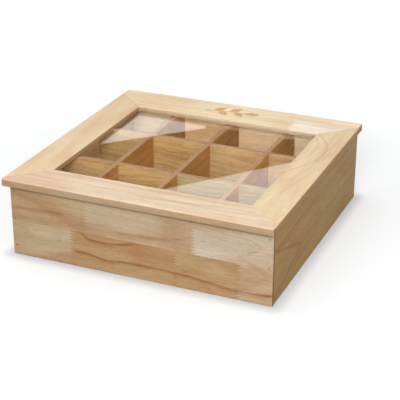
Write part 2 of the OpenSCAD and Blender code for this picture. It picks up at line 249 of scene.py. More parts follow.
def make_staves():
    """Two edge-glued staves of finger-jointed blocks: numbers the blocks and draws the glue lines."""
    takes = [
        ("Board", "Vector", None), ("Glue Line", "Float", 41.0),
        ("Lower Joints", "Vector", (-60.0, 40.0, 110.0)),
        ("Upper Joints", "Vector", (-60.0, 40.0, 110.0)),
        ("Tooth Pitch", "Float", 3.6), ("Tooth Length", "Float", 6.0),
    ]
    tree, taken, given = new_group("glued staves", takes, [("Block", "Float"), ("Glue", "Float")])
    board = vectors(tree, "MULTIPLY", taken["Board"], IN_MM)
    along, across, _ = parts_of(tree, board)
    wavy = noise(tree, board, (0.02, 0.0, 0.0), 1.0)
    upper = (across + wavy * 0.8).above(taken["Glue Line"] + 0.4)
    joints = place(tree, "ShaderNodeMix", {0: upper, 4: taken["Lower Joints"], 5: taken["Upper Joints"]},
                   data_type="VECTOR").outputs[1]
    half_pitch = taken["Tooth Pitch"] * 0.5
    zigzag = maths(tree, "PINGPONG", across, half_pitch) / half_pitch
    toothed = along + (zigzag - 0.5) * taken["Tooth Length"]
    block = upper * UPPER_START
    glue = (across - taken["Glue Line"]).size().ease(0.45, 0.1)
    for joint in parts_of(tree, joints):
        block = block + toothed.above(joint)
        glue = maths(tree, "MAXIMUM", glue, (toothed - joint).size().ease(1.6, 0.4))
    join(tree, block, given["Block"])
    join(tree, glue, given["Glue"])
    return tree


def make_grain_line():
    """A dark growth line that follows a height given along the board."""
    takes = [("Board", "Vector", None), ("Height Across", "Float", 0.0), ("Crisp Side", "Float", 1.0),
             ("Width", "Float", 1.2), ("Fade Start", "Float", -200.0), ("Fade End", "Float", 200.0)]
    tree, taken, given = new_group("dark growth line", takes, [("Mask", "Float")])
    board = vectors(tree, "MULTIPLY", taken["Board"], IN_MM)
    along, across, _ = parts_of(tree, board)
    shake = noise(tree, board, (0.05, 0.02, 0.02))
    away = (across - taken["Height Across"] + (shake - 0.5) * 2.0) * taken["Crisp Side"]
    # crisp on one side and fading slowly on the other, as late wood does
    line = away.ease(-5.0, 0.0) * (away / taken["Width"]).ease(1.0, 0.0)
    patchy = noise(tree, board, (0.03, 0.4, 0.4)).ease(0.3, 0.6, 0.55, 1.0)
    start = (along - taken["Fade Start"]).ease(0.0, 12.0)
    end = (taken["Fade End"] - along).ease(0.0, 12.0)
    join(tree, line * patchy * start * end, given["Mask"])
    return tree


def make_eased_edge():
    """A mask along the sanded edges of a board that fills the box from Low to High."""
    takes = [("Place", "Vector", None), ("Low", "Vector", None), ("High", "Vector", None),
             ("Reach", "Float", 2.0)]
    tree, taken, given = new_group("eased edge", takes, [("Mask", "Float")])
    low_side = vectors(tree, "SUBTRACT", taken["Place"], taken["Low"])
    high_side = vectors(tree, "SUBTRACT", taken["High"], taken["Place"])
    inside = vectors(tree, "MULTIPLY", vectors(tree, "MINIMUM", low_side, high_side), IN_MM)
    # an edge is where the second of the three distances to the faces is small too
    in_x, in_y, in_z = parts_of(tree, inside)
    second = maths(tree, "MAXIMUM", maths(tree, "MINIMUM", in_x, in_y),
                   maths(tree, "MINIMUM", maths(tree, "MAXIMUM", in_x, in_y), in_z))
    rub = noise(tree, taken["Place"], (60.0, 60.0, 60.0))
    away = (second + (rub - 0.5) * 2.0) / taken["Reach"]
    join(tree, away.ease(1.0, 0.1), given["Mask"])
    return tree


rubberwood_grain = make_rubberwood_grain()
glued_staves = make_staves()
growth_line = make_grain_line()
eased_edge = make_eased_edge()


def board_lay(along, across):
    """Turns the frame so that X runs along the grain and Y across the board's width."""
    along, across = Vector(along), Vector(across)
    return Matrix((along, across, along.cross(across))).to_euler()


def new_finish(name):
    finish = bpy.data.materials.new(name)
    finish.use_nodes = True
    finish.node_tree.nodes.clear()
    return finish, finish.node_tree


def relief(tree, height, strength, depth):
    return place(tree, "ShaderNodeBump", {"Strength": strength, "Distance": depth, "Height": height})


def close_finish(tree, height, strength, depth, values):
    """Gives a material its shader, with these values and a relief from a height."""
    bump = relief(tree, height, strength, depth)
    surface = place(tree, "ShaderNodeBsdfPrincipled", {**values, "Normal": bump})
    place(tree, "ShaderNodeOutputMaterial", {"Surface": surface})


def rubberwood(name, lay, number, wood, node=None, figure=0.5, blush=0.4, pores=0.5,
               pith=(0.0, 0.0, -60.0), lean=0.1, rings=6.0, figure_tint=srgb(214, 178, 132),
               blush_tint=srgb(238, 205, 190), contrast=1.0, staves=None, glue_strength=0.35,
               lines=(), edge_tones_and_painted_shade=None, edge_share=0.85):
    """Satin-lacquered rubberwood for one board, laid so that the pattern runs along its grain.

    With a node, its edges look sanded round. Staves give the joints and the woods of a glued board,
    lines its dark growth lines, and the edge tones the tints of its two long edges: some a sawn tone,
    some painted shade.
    """
    finish, tree = new_finish(name)
    coords = place(tree, "ShaderNodeTexCoord")
    board = place(tree, "ShaderNodeMapping", {"Vector": coords.outputs["Object"], "Rotation": lay})
    facing = place(tree, "ShaderNodeMapping", {"Vector": coords.outputs["Normal"], "Rotation": lay},
                   vector_type="NORMAL")
    glue = None
    if staves:
        layout = {"Board": board, "Glue Line": staves["glue_line"],
                  "Lower Joints": staves["lower"], "Upper Joints": staves["upper"]}
        made = drop_in(tree, glued_staves, layout)
        block, glue = made["Block"], made["Glue"]
        ramp = place(tree, "ShaderNodeValToRGB", {"Fac": block * BLOCK_STEP + 0.02})
        ramp.color_ramp.interpolation = "CONSTANT"
        while len(ramp.color_ramp.elements) < len(staves["woods"]):
            ramp.color_ramp.elements.new(0.5)
        for index, tone in enumerate(staves["woods"]):
            ramp.color_ramp.elements[index].position = index * BLOCK_STEP
            ramp.color_ramp.elements[index].color = srgb(*tone)
        wood = ramp
        # each block has a grain of its own
        number = block * 3.7 + number
    grain = drop_in(tree, rubberwood_grain, {
        "Board": board, "Facing": facing, "Board Number": number, "Wood": wood,
        "Figure Tint": figure_tint, "Figure Strength": figure,
        "Blush Tint": blush_tint, "Blush Strength": blush,
        "Pith": pith, "Pith Lean": lean, "Ring Spacing": rings, "Pore Strength": pores,
        "Contrast": contrast})
    colour = grain["Color"]
    for line in lines:
        base = line.get("base", 0.0)
        reach = LINE_REACH * MM
        share = place(tree, "ShaderNodeMapRange", {
            "Value": parts_of(tree, board)[0], "From Min": -reach, "From Max": reach})
        course = place(tree, "ShaderNodeFloatCurve", {"Factor": 1.0, "Value": share})
        curve = course.mapping.curves[0]
        for _ in line["course"][2:]:
            curve.points.new(0.5, 0.5)
        for point, (x, height) in zip(curve.points, line["course"]):
            point.location = ((x + LINE_REACH) / (2 * LINE_REACH), (height - base) / LINE_RISE)
        course.mapping.update()
        height = Field(tree, course) * LINE_RISE + base
        mask = drop_in(tree, growth_line, {
            "Board": board, "Height Across": height, "Crisp Side": line.get("crisp", 1.0),
            "Width": line["width"], "Fade Start": line["from"], "Fade End": line["to"]})
        colour = blend(tree, mask["Mask"] * line["strength"], colour, srgb(196, 148, 104), "MULTIPLY")
    if glue is not None:
        colour = blend(tree, glue * glue_strength, colour, srgb(226, 200, 172), "MULTIPLY")
    # the two long edges take their tints: a sawn tone on some boards, painted shade on rail edges that
    # stand in shade
    if edge_tones_and_painted_shade is not None:
        across = parts_of(tree, facing)[1]
        colour = blend(tree, (across * -1.0).ease(0.6, 0.9) * edge_share, colour, edge_tones_and_painted_shade[0])
        colour = blend(tree, across.ease(0.6, 0.9) * edge_share, colour, edge_tones_and_painted_shade[1])
    rough = grain["Roughness"]
    if node is not None:
        low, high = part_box(node)
        worn = drop_in(tree, eased_edge, {"Place": coords.outputs["Object"], "Low": low, "High": high})
        ends = parts_of(tree, facing)[0].size().ease(0.6, 0.8)
        worn = worn["Mask"] * (1.0 - ends)
        colour = blend(tree, worn * 0.10, colour, srgb(250, 240, 228), "SCREEN")
        colour = blend(tree, worn * 0.45, colour, srgb(228, 206, 178), "MULTIPLY")
        rough = rough - worn * 0.08
    close_finish(tree, grain["Height"], 0.35, 0.3 * MM, {
        "Base Color": colour, "Roughness": rough, "Specular IOR Level": 0.12})
    return finish


def dress(node, finish):
    """Gives a CAD node its finish in every material slot."""
    for slot in nodes[node].material_slots:
        slot.material = finish


long_way_x = board_lay((1, 0, 0), (0, 0, 1))
long_way_y = board_lay((0, 1, 0), (0, 0, 1))

front_staves = {
    "glue_line": 41.5, "lower": (-77.0, 43.0, 112.0), "upper": (-62.0, 62.0, NO_JOINT),
    "woods": [(200, 178, 144), (193, 159, 116), (195, 167, 124), (202, 176, 142),
              (195, 171, 133), (202, 180, 149), (208, 192, 168)],
}
front_lines = [
    {"course": [(-150, 46), (-67, 42), (-57, 36), (-37, 34.5), (-20, 37), (0, 41), (150, 44)],
     "width": 1.2, "strength": 0.75, "from": -74, "to": 2},
    {"course": [(-150, 19), (-57, 18.2), (-37, 14.5), (-15, 16.8), (40, 16.8), (87, 13.2), (112, 10.7),
                (150, 13.2)],
     "width": 1.1, "strength": 0.75, "from": -80, "to": 175},
    {"course": [(-150, 57), (-120, 58), (-88, 59), (150, 60)],
     "width": 1.4, "strength": 0.40, "from": -175, "to": -82},
    {"course": [(-150, 48), (-30, 50), (20, 52), (45, 56), (62, 61), (150, 62)],
     "width": 1.2, "strength": 0.40, "from": -30, "to": 66},
]
dress("front_panel", rubberwood(
    "front_panel_wood", long_way_x, 1.0, None, "front_panel", figure=0.35, blush=0.5, pores=0.5,
    pith=(-60.0, 30.0, 26.0), lean=0.12, rings=7.0, staves=front_staves, lines=front_lines))

# the back panel's woods are lightened, and the upper stave's joints sit at the slats so each cell's wall
# has its own tone: painted light making up for the shade under the lid
back_staves_with_painted_light = {
    "glue_line": 43.0, "lower": (-92.0, 12.0, 96.0), "upper": (-72.0, 0.0, 74.0),
    "woods": [(248, 226, 182), (240, 211, 162), (250, 230, 185), (242, 215, 168),
              (254, 234, 187), (249, 218, 164), (253, 228, 184), (254, 240, 199)],
}
dress("back_panel", rubberwood(
    "back_panel_wood", long_way_x, 5.3, None, "back_panel", figure=0.25, blush=0.2,
    pith=(40.0, 20.0, -30.0), lean=0.1, rings=7.0, staves=back_staves_with_painted_light))

left_staves = {
    "glue_line": 37.0, "lower": (-70.0, 46.0, NO_JOINT), "upper": (-12.0, 98.0, NO_JOINT),
    "woods": [(236, 207, 163), (225, 188, 139), (240, 213, 174), (232, 199, 153),
              (243, 215, 168), (229, 191, 135), (238, 211, 170)],
}
dress("left_panel", rubberwood(
    "left_panel_wood", long_way_y, 8.1, None, "left_panel", figure=0.4, blush=0.45,
    pith=(-30.0, 50.0, 40.0), lean=0.14, rings=7.0, staves=left_staves))

right_lines = [
    {"course": [(-150, 61), (-130, 57), (-100, 47.5), (-80, 41), (-67, 37), (-59, 32), (150, 32)],
     "width": 1.6, "strength": 0.55, "from": -145, "to": -54},
    {"course": [(-150, 7), (-130, 10), (-100, 16.5), (-80, 22.5), (-65, 27), (-59, 32), (150, 32)],
     "width": 1.6, "strength": 0.55, "from": -145, "to": -54, "crisp": -1.0},
    {"course": [(-150, 60.5), (-100, 63), (-45, 65), (0, 64.5), (150, 60)],
     "width": 1.8, "strength": 0.32, "from": -170, "to": 4},
]
# the right board's darker, yellower wood is partly its own tone and partly painted shade for the side
# that stands in shade
dress("right_panel", rubberwood(
    "right_panel_wood", long_way_y, 11.6, srgb(196, 158, 92), "right_panel", figure=0.25, blush=0.45,
    pores=0.6, pith=(-150.0, 32.0, 150.0), lean=0.26, rings=14.0, lines=right_lines,
    figure_tint=srgb(214, 176, 122), blush_tint=srgb(246, 218, 206)))


# ---- Base ----------------------------------------------------------------
# A sheet of 4 mm plywood with a pale face veneer whose grain runs along the box. It lies in a rebate
# under the four sides, which hides its edges, and brads driven up through it hold it.

flat_way_x = board_lay((1, 0, 0), (0, 1, 0))
dress("base_panel", rubberwood(
    "base_plywood", flat_way_x, 14.2, srgb(226, 200, 160), figure=0.5, blush=0.2, pores=0.3,
    pith=(30.0, 10.0, -18.0), lean=0.03, rings=5.0))


# ---- Dividers: an egg-crate of three long and two cross slats ------------
# 6 mm rubberwood slats, half-lapped into each other where they cross and housed 2 mm deep in the
# sides. The two cross slats are each jointed from two woods, under the middle long slat; the front
# one's darker right half is partly painted shade. The sawn top edges are a little pinker.

def half_and_half(left_wood, right_wood):
    """A slat of one stave, the upper one, whose two halves are jointed at its middle."""
    return {"glue_line": -NO_JOINT, "lower": (NO_JOINT, NO_JOINT, NO_JOINT),
            "upper": (0.0, NO_JOINT, NO_JOINT), "woods": [left_wood] * (UPPER_START + 1) + [right_wood]}


slat_top = srgb(166, 132, 107)
front_slat_top = srgb(163, 127, 99)
long_woods = {
    "long_divider_left": srgb(208, 156, 87), "long_divider_middle": srgb(209, 156, 86),
    # the right slat's lighter wood is painted light, making up for the shade on its face in the back row
    "long_divider_right": srgb(227, 168, 92),
}
cross_staves = {
    # the right half's darker, less red wood is partly its own and partly painted shade, damping the
    # lamp's bright band on this face
    "cross_divider_front": half_and_half((212, 180, 123), (190, 172, 130)),
    "cross_divider_rear": half_and_half((205, 172, 115), (203, 174, 124)),
}
for count, slat in enumerate(list(long_woods) + list(cross_staves)):
    lay = long_way_y if slat in long_woods else long_way_x
    top = front_slat_top if slat == "cross_divider_front" else slat_top
    dress(slat, rubberwood(
        slat + "_wood", lay, 20.4 + 2.3 * count, long_woods.get(slat), figure=0.55, blush=0.25,
        pores=1.0, pith=(20.0 * count, 90.0 + 11.0 * count, 30.0), lean=0.03, rings=5.0,
        staves=cross_staves.get(slat), edge_tones_and_painted_shade=(top, top), edge_share=0.8))


# ---- Brads ---------------------------------------------------------------
# Lost-head brads of drawn steel, driven through the front and back into the sides and up through the
# base, with their heads punched a little under the wood.

def make_handled_metal():
    """Drawing lines and a dull film on small metal parts."""
    takes = [("Place", "Vector", None), ("Metal", "Color", srgb(190, 190, 188)),
             ("Film", "Color", srgb(120, 112, 100)), ("Film Strength", "Float", 0.4),
             ("Base Roughness", "Float", 0.3)]
    gives = [("Color", "Color"), ("Roughness", "Float"), ("Height", "Float")]
    tree, taken, given = new_group("handled metal", takes, gives)
    spot = vectors(tree, "MULTIPLY", taken["Place"], IN_MM)
    film = noise(tree, spot, (0.45, 0.45, 0.45), 4.0, 0.6).ease(0.4, 0.7)
    lines = noise(tree, spot, (0.8, 9.0, 9.0))
    colour = blend(tree, film * taken["Film Strength"], taken["Metal"], taken["Film"])
    join(tree, colour, given["Color"])
    join(tree, film * 0.18 + lines * 0.12 + taken["Base Roughness"], given["Roughness"])
    join(tree, lines + film * 0.4, given["Height"])
    return tree


handled_metal = make_handled_metal()


def small_metal(name, metal, film, film_strength, base_roughness):
    """A small metal part's finish: its metal, the film on it, and how bright it is under the film."""
    finish, tree = new_finish(name)
    coords = place(tree, "ShaderNodeTexCoord")
    worn = drop_in(tree, handled_metal, {
        "Place": coords.outputs["Object"], "Metal": metal, "Film": film,
        "Film Strength": film_strength, "Base Roughness": base_roughness})
    close_finish(tree, worn["Height"], 0.4, 0.04 * MM, {
        "Base Color": worn["Color"], "Roughness": worn["Roughness"], "Metallic": 1.0})
    return finish


brad_steel = small_metal("brad_steel", srgb(168, 156, 138), srgb(112, 98, 80), 0.8, 0.42)
SAME_SPOT = 1e-6  # corners of a CAD mesh closer than this, in metres, are one
SLIVER = 0.01 * MM  # how far a cutter stands proud, so that it cuts cleanly


def put_in_scene(name, data):
    thing = bpy.data.objects.new(name, data)
    bpy.context.scene.collection.objects.link(thing)
    return thing


def driven(node, aim_of):
    """Head places of a node's fasteners, with the way each is driven kept as the attribute aim."""
    solid = bmesh.new()
    solid.from_mesh(nodes[node].data)
    bmesh.ops.remove_doubles(solid, verts=solid.verts, dist=SAME_SPOT)
    waiting = set(solid.verts)
    heads = []
    for start in list(solid.verts):
        if start not in waiting:
            continue
        waiting.remove(start)
        reached = [start]
        for vert in reached:
            for edge in vert.link_edges:
                other = edge.other_vert(vert)
                if other in waiting:
                    waiting.remove(other)
                    reached.append(other)
        # reached now holds the corners of one fastener
        low = Vector([min(vert.co[axis] for vert in reached) for axis in range(3)])
        high = Vector([max(vert.co[axis] for vert in reached) for axis in range(3)])
        middle = (low + high) / 2
        aim = Vector(aim_of(middle))
        heads.append((middle - aim * abs(aim.dot(high - low)) / 2, aim))
    solid.free()
    heads.sort(key=lambda head: tuple(round(value, 5) for value in head[0]))
    places = bpy.data.meshes.new(node + "_places")
    places.from_pydata([head[0] for head in heads], [], [])
    ways = places.attributes.new("aim", "FLOAT_VECTOR", "POINT")
    for index, head in enumerate(heads):
        ways.data[index].vector = head[1]
    return places


def fastener_tree(name, sizes):
    """A node tree that sets one fastener, drawn along +Z from its head, at every place."""
    tree = bpy.data.node_groups.new(name, "GeometryNodeTree")
    tree.interface.new_socket("Places", in_out="INPUT", socket_type="NodeSocketGeometry")
    for label, value in sizes.items():
        kind = "NodeSocketInt" if label == "Seed" else "NodeSocketFloat"
        tree.interface.new_socket(label, in_out="INPUT", socket_type=kind).default_value = value
    tree.interface.new_socket("Finish", in_out="INPUT", socket_type="NodeSocketMaterial")
    tree.interface.new_socket("Fasteners", in_out="OUTPUT", socket_type="NodeSocketGeometry")
    return tree, fields_of(tree, tree.nodes.new("NodeGroupInput"))


def raise_up(tree, part, height):
    offset = place(tree, "ShaderNodeCombineXYZ", {"Z": height})
    return place(tree, "GeometryNodeTransform", {"Geometry": part, "Translation": offset})


def taper(tree, sides, start_radius, end_radius, length):
    return place(tree, "GeometryNodeMeshCone", {
        "Vertices": sides, "Radius Bottom": start_radius, "Radius Top": end_radius, "Depth": length})


def set_at_places(tree, taken, parts):
    """Joins the parts, turns each copy a random way round its own axis and sets it at its place."""
    whole = place(tree, "GeometryNodeJoinGeometry")
    for part in reversed(parts):
        join(tree, part, whole.inputs[0])
    aim = place(tree, "GeometryNodeInputNamedAttribute", {"Name": "aim"}, data_type="FLOAT_VECTOR")
    along_aim = place(tree, "FunctionNodeAlignRotationToVector", {"Vector": aim}, axis="Z")
    turn = place(tree, "FunctionNodeRandomValue", {3: math.tau, "Seed": taken["Seed"]},
                 data_type="FLOAT")
    spin = place(tree, "ShaderNodeCombineXYZ", {"Z": turn.outputs[1]})
    spin = place(tree, "FunctionNodeEulerToRotation", {"Euler": spin})
    facing = place(tree, "FunctionNodeRotateRotation", {"Rotation": along_aim, "Rotate By": spin},
                   rotation_space="LOCAL")
    copies = place(tree, "GeometryNodeInstanceOnPoints", {
        "Points": taken["Places"], "Instance": whole, "Rotation": facing})
    solid = place(tree, "GeometryNodeRealizeInstances", {"Geometry": copies})
    solid = place(tree, "GeometryNodeSetMaterial", {"Geometry": solid, "Material": taken["Finish"]})
    join(tree, solid, tree.nodes.new("NodeGroupOutput").inputs[0])


def set_fasteners(node, tree, aim_of, seed, finish, body):
    """Runs a fastener tree over its places, keeps the plain mesh and lets it stand for the CAD node."""
    name = node + "_driven"
    carrier = put_in_scene(name + "_carrier", driven(node, aim_of))
    maker = carrier.modifiers.new("fasteners", "NODES")
    maker.node_group = tree
    for item in tree.interface.items_tree:
        if item.in_out == "INPUT" and item.name == "Seed":
            maker[item.identifier] = seed
        if item.in_out == "INPUT" and item.name == "Finish":
            maker[item.identifier] = finish
    seen_now = bpy.context.evaluated_depsgraph_get()
    mesh = bpy.data.meshes.new_from_object(carrier.evaluated_get(seen_now), depsgraph=seen_now)
    carrier.modifiers.remove(maker)
    bpy.data.objects.remove(carrier)
    mesh.name = name
    mesh.materials.clear()
    mesh.materials.append(finish)
    mesh.polygons.foreach_set("material_index", [0] * len(mesh.polygons))
    mesh.shade_smooth()
    mesh.set_sharp_from_angle(angle=math.radians(35))
    piece = put_in_scene(name, mesh)
    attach(piece, body)
    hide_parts(node)


def make_brad_tree():
    """A lost-head brad: a tapered head with a punch mark, a drawn shank and a cut point."""
    tree, taken = fastener_tree("lost-head brad", {
        "Length": 20 * MM, "Shank Radius": 0.58 * MM, "Head Radius": 0.88 * MM, "Head Length": 0.6 * MM,
        "Point Length": 1.6 * MM, "Punch Radius": 0.4 * MM, "Punch Depth": 0.3 * MM, "Seed": 3})
    head_radius, shank_radius = taken["Head Radius"], taken["Shank Radius"]
    head_length, point_length = taken["Head Length"], taken["Point Length"]
    rim_length = head_length * 0.45
    rim = taper(tree, 28, head_radius * 0.96, head_radius, rim_length)
    mark = taper(tree, 12, taken["Punch Radius"], 0.0, taken["Punch Depth"])
    mark = raise_up(tree, mark, -SLIVER)
    cut = place(tree, "GeometryNodeMeshBoolean", {"Mesh 1": rim, "Mesh 2": mark},
                operation="DIFFERENCE", solver="EXACT")
    neck = taper(tree, 28, head_radius * 0.97, shank_radius, head_length - rim_length * 0.9)
    neck = raise_up(tree, neck, rim_length * 0.9)
    point_start = taken["Length"] - point_length
    shank = taper(tree, 16, shank_radius, shank_radius, point_start - head_length)
    shank = raise_up(tree, shank, head_length)
    point = raise_up(tree, taper(tree, 4, shank_radius, 0.08 * MM, point_length), point_start)
    set_at_places(tree, taken, [cut, neck, shank, point])
    return tree


lost_head_brad = make_brad_tree()
set_fasteners("corner_brads", lost_head_brad, lambda middle: (0, -math.copysign(1, middle.y), 0),
              3, brad_steel, "box")
set_fasteners("base_brads", lost_head_brad, lambda middle: (0, 0, 1), 8, brad_steel, "box")


# ---- Hinges --------------------------------------------------------------
# Two small butt hinges of pressed brass, each of two leaves rolled round a pin. One leaf is screwed
# to the back panel and the other up into the lid's back rail.

hinge_brass = small_metal("hinge_brass", srgb(214, 188, 124), srgb(150, 120, 74), 0.5, 0.28)
for node in ("hinge_left_box_leaf", "hinge_right_box_leaf", "hinge_left_lid_leaf",
             "hinge_right_lid_leaf", "hinge_left_pin", "hinge_right_pin"):
    dress(node, hinge_brass)


def make_screw_tree():
    """A countersunk brass wood screw: cross recess, cut thread round a slender core, sharp tip."""
    tree, taken = fastener_tree("countersunk screw", {
        "Length": 6.45 * MM, "Head Radius": 1.57 * MM, "Head Depth": 0.88 * MM, "Core Radius": 0.56 * MM,
        "Thread Height": 0.2 * MM, "Thread Pitch": 0.62 * MM, "Tip Length": 1.3 * MM,
        "Recess Reach": 0.95 * MM, "Recess Width": 0.42 * MM, "Recess Depth": 0.5 * MM, "Seed": 5})
    length, head_depth = taken["Length"], taken["Head Depth"]
    core, tip_length = taken["Core Radius"], taken["Tip Length"]
    pitch, thread = taken["Thread Pitch"], taken["Thread Height"]
    head = taper(tree, 36, taken["Head Radius"], core, head_depth)
    bars = []
    for wide, deep in (("X", "Y"), ("Y", "X")):
        size = place(tree, "ShaderNodeCombineXYZ", {
            wide: taken["Recess Reach"] * 2.0, deep: taken["Recess Width"],
            "Z": taken["Recess Depth"] * 2.0})
        bars.append(place(tree, "GeometryNodeMeshCube", {"Size": size}))
    recess = place(tree, "GeometryNodeJoinGeometry")
    for bar in bars:
        join(tree, bar, recess.inputs[0])
    cut = place(tree, "GeometryNodeMeshBoolean", {
        "Mesh 1": head, "Mesh 2": recess, "Self Intersection": True},
        operation="DIFFERENCE", solver="EXACT")
    core_start = head_depth * 0.9
    core_length = length - tip_length - core_start
    shank = raise_up(tree, taper(tree, 16, core, core * 0.9, core_length), core_start)
    tip = raise_up(tree, taper(tree, 16, core * 0.9, 0.03 * MM, tip_length), length - tip_length)
    thread_length = core_length * 0.92
    course = place(tree, "GeometryNodeCurveSpiral", {
        "Resolution": 18, "Rotations": thread_length / pitch, "Start Radius": core,
        "End Radius": core * 0.92, "Height": thread_length})
    ridge = place(tree, "GeometryNodeCurvePrimitiveCircle", {"Resolution": 3, "Radius": thread})
    ridge = place(tree, "GeometryNodeCurveToMesh", {
        "Curve": course, "Profile Curve": ridge, "Fill Caps": True})
    ridge = raise_up(tree, ridge, head_depth * 1.1)
    set_at_places(tree, taken, [cut, shank, tip, ridge])
    return tree


countersunk_screw = make_screw_tree()
set_fasteners("box_leaf_screws", countersunk_screw, lambda middle: (0, -1, 0),
              5, hinge_brass, "box")
set_fasteners("lid_leaf_screws", countersunk_screw, lambda middle: (0, 0, 1),
              9, hinge_brass, "lid")


# ---- Lid frame -----------------------------------------------------------
# Four rubberwood rails mitred round the window, with two dowels across each mitre and a rebate below
# for the pane. The broad back rail is pale, the side rails yellower, and the front rail pinkish.

RAIL_BASE = -170.0  # growth lines on a rail are plotted from this far outside it

flat_way_y = board_lay((0, 1, 0), (-1, 0, 0))
rail_edge = srgb(155, 123, 79)
window_edge = srgb(192, 163, 131)
# painted shade: the left rail's edge by the window is tinted dark brown, as it stands in shade
window_edge_painted_shade = srgb(160, 122, 78)
# the outer edges' dark yellow tone is partly the sawn edge's own and partly painted shade, set for the
# right side in shade; the left and back outer edges take it too
outer_edge_tone_and_shade = srgb(186, 140, 73)
front_rail_lines = [
    {"course": [(-150, -140), (-20, -134), (30, -131), (80, -125), (150, -121)],
     "base": RAIL_BASE, "width": 0.9, "strength": 0.35, "from": -10, "to": 128},
]
right_rail_lines = [
    {"course": [(-150, -100), (-40, -108), (-10, -118), (12, -130), (40, -139), (62, -138), (80, -132),
                (98, -121), (115, -108), (150, -100)],
     "base": RAIL_BASE, "width": 1.4, "strength": 0.30, "from": -30, "to": 112, "crisp": -1.0},
    {"course": [(-150, -98), (0, -106), (20, -117), (45, -126), (70, -125), (88, -118), (100, -109),
                (150, -98)],
     "base": RAIL_BASE, "width": 1.4, "strength": 0.18, "from": 4, "to": 102, "crisp": -1.0},
    {"course": [(-150, -118), (-75, -128), (-37, -136), (0, -144), (30, -150), (150, -165)],
     "base": RAIL_BASE, "width": 1.6, "strength": 0.15, "from": -120, "to": 20, "crisp": -1.0},
]

dress("lid_front_rail", rubberwood(
    "lid_front_wood", flat_way_x, 31.0, srgb(225, 204, 178), figure=0.3, blush=0.5, pores=0.55,
    pith=(0.0, -60.0, 40.0), lean=0.03, rings=5.0, blush_tint=srgb(246, 220, 212),
    contrast=0.7, lines=front_rail_lines, edge_tones_and_painted_shade=(rail_edge, window_edge), edge_share=0.6))
dress("lid_left_rail", rubberwood(
    "lid_left_wood", flat_way_y, 34.0, srgb(225, 201, 166), figure=0.15, blush=0.45, pores=0.3,
    contrast=0.5, pith=(0.0, 190.0, 20.0), lean=0.04, rings=6.0, edge_tones_and_painted_shade=(window_edge_painted_shade, outer_edge_tone_and_shade)))
dress("lid_right_rail", rubberwood(
    "lid_right_wood", flat_way_y, 37.0, srgb(226, 204, 167), figure=0.22, blush=0.3, pores=0.35,
    pith=(-80.0, -120.0, 130.0), lean=0.16, rings=7.0, figure_tint=srgb(226, 192, 146),
    contrast=0.7, lines=right_rail_lines, edge_tones_and_painted_shade=(outer_edge_tone_and_shade, window_edge), edge_share=0.9))
back_rail_staves = {
    "glue_line": 137.0, "lower": (76.0, NO_JOINT, NO_JOINT), "upper": (NO_JOINT, NO_JOINT, NO_JOINT),
    "woods": [(239, 221, 186), (243, 231, 213), (240, 220, 184), (240, 220, 184),
              (238, 218, 184)],
}
back_rail_wood = rubberwood(
    "lid_back_wood", flat_way_x, 40.0, None, figure=0.35, blush=0.35, pores=0.4,
    pith=(0.0, 150.0, 60.0), lean=0.03, rings=5.0, contrast=0.8, staves=back_rail_staves,
    glue_strength=0.12, edge_tones_and_painted_shade=(window_edge, outer_edge_tone_and_shade))
dress("lid_back_rail", back_rail_wood)
dress("mitre_dowels", rubberwood("dowel_wood", flat_way_x, 43.0, srgb(220, 190, 150)))


# ---- Leaf sprig carved in the back rail ----------------------------------
# A stem with five leaves, cut 0.4 mm into the top of the back rail with a hot-running burr, so that
# the floor of the cut is browned. Each leaf is two pockets with its midrib left standing.

CUT_FLOOR = 90.1 * MM
CUT_TOP = 91.0 * MM  # above the rail, so that the cutter comes out cleanly
LEAF_STEPS = 16


def cut_between(cutter, left_edge, right_edge):
    """Adds a closed strip between two edge lines, a little narrower at the floor of the cut."""
    rings = []
    for left, right in zip(left_edge, right_edge):
        draw_in = (right - left).normalized() * min(0.12 * MM, (right - left).length * 0.2)
        corners = [(left + draw_in, CUT_FLOOR), (right - draw_in, CUT_FLOOR),
                   (right, CUT_TOP), (left, CUT_TOP)]
        rings.append([cutter.verts.new((spot.x, spot.y, height)) for spot, height in corners])
    for first, second in zip(rings, rings[1:]):
        for index in range(4):
            after = (index + 1) % 4
            cutter.faces.new((first[index], first[after], second[after], second[index]))
    cutter.faces.new(rings[0][::-1])
    cutter.faces.new(rings[-1])


def cut_leaf(cutter, base, turn, length, width, rib):
    """Two half-leaf pockets beside a standing midrib that thins out toward the tip."""
    along = Vector((math.cos(math.radians(turn)), math.sin(math.radians(turn))))
    across = Vector((-along.y, along.x))
    for side in (1, -1):
        inner, outer = [], []
        for step in range(LEAF_STEPS + 1):
            share = step / LEAF_STEPS
            spot = Vector(base) * MM + along * (0.07 + 0.91 * share) * length * MM
            swell = math.sin(math.pi * min(1, 0.06 + 0.93 * share) ** 0.8) * width / 2
            start = rib / 2 * (1 - 0.7 * share)
            inner.append(spot + across * side * start * MM)
            outer.append(spot + across * side * max(start + 0.08, swell) * MM)
        cut_between(cutter, inner, outer)


cutter = bmesh.new()
stem_run = [(-37.0, 125.6), (-30.0, 127.6), (-22.0, 129.3), (-13.0, 130.5), (-4.0, 131.4),
            (5.0, 132.0), (13.5, 132.3)]
stem_left, stem_right = [], []
for index, spot in enumerate(stem_run):
    before = Vector(stem_run[max(index - 1, 0)])
    after = Vector(stem_run[min(index + 1, len(stem_run) - 1)])
    along = (after - before).normalized()
    half_width = (1.15 - 0.07 * index) * MM
    across = Vector((-along.y, along.x))
    stem_left.append(Vector(spot) * MM + across * half_width)
    stem_right.append(Vector(spot) * MM - across * half_width)
cut_between(cutter, stem_left, stem_right)
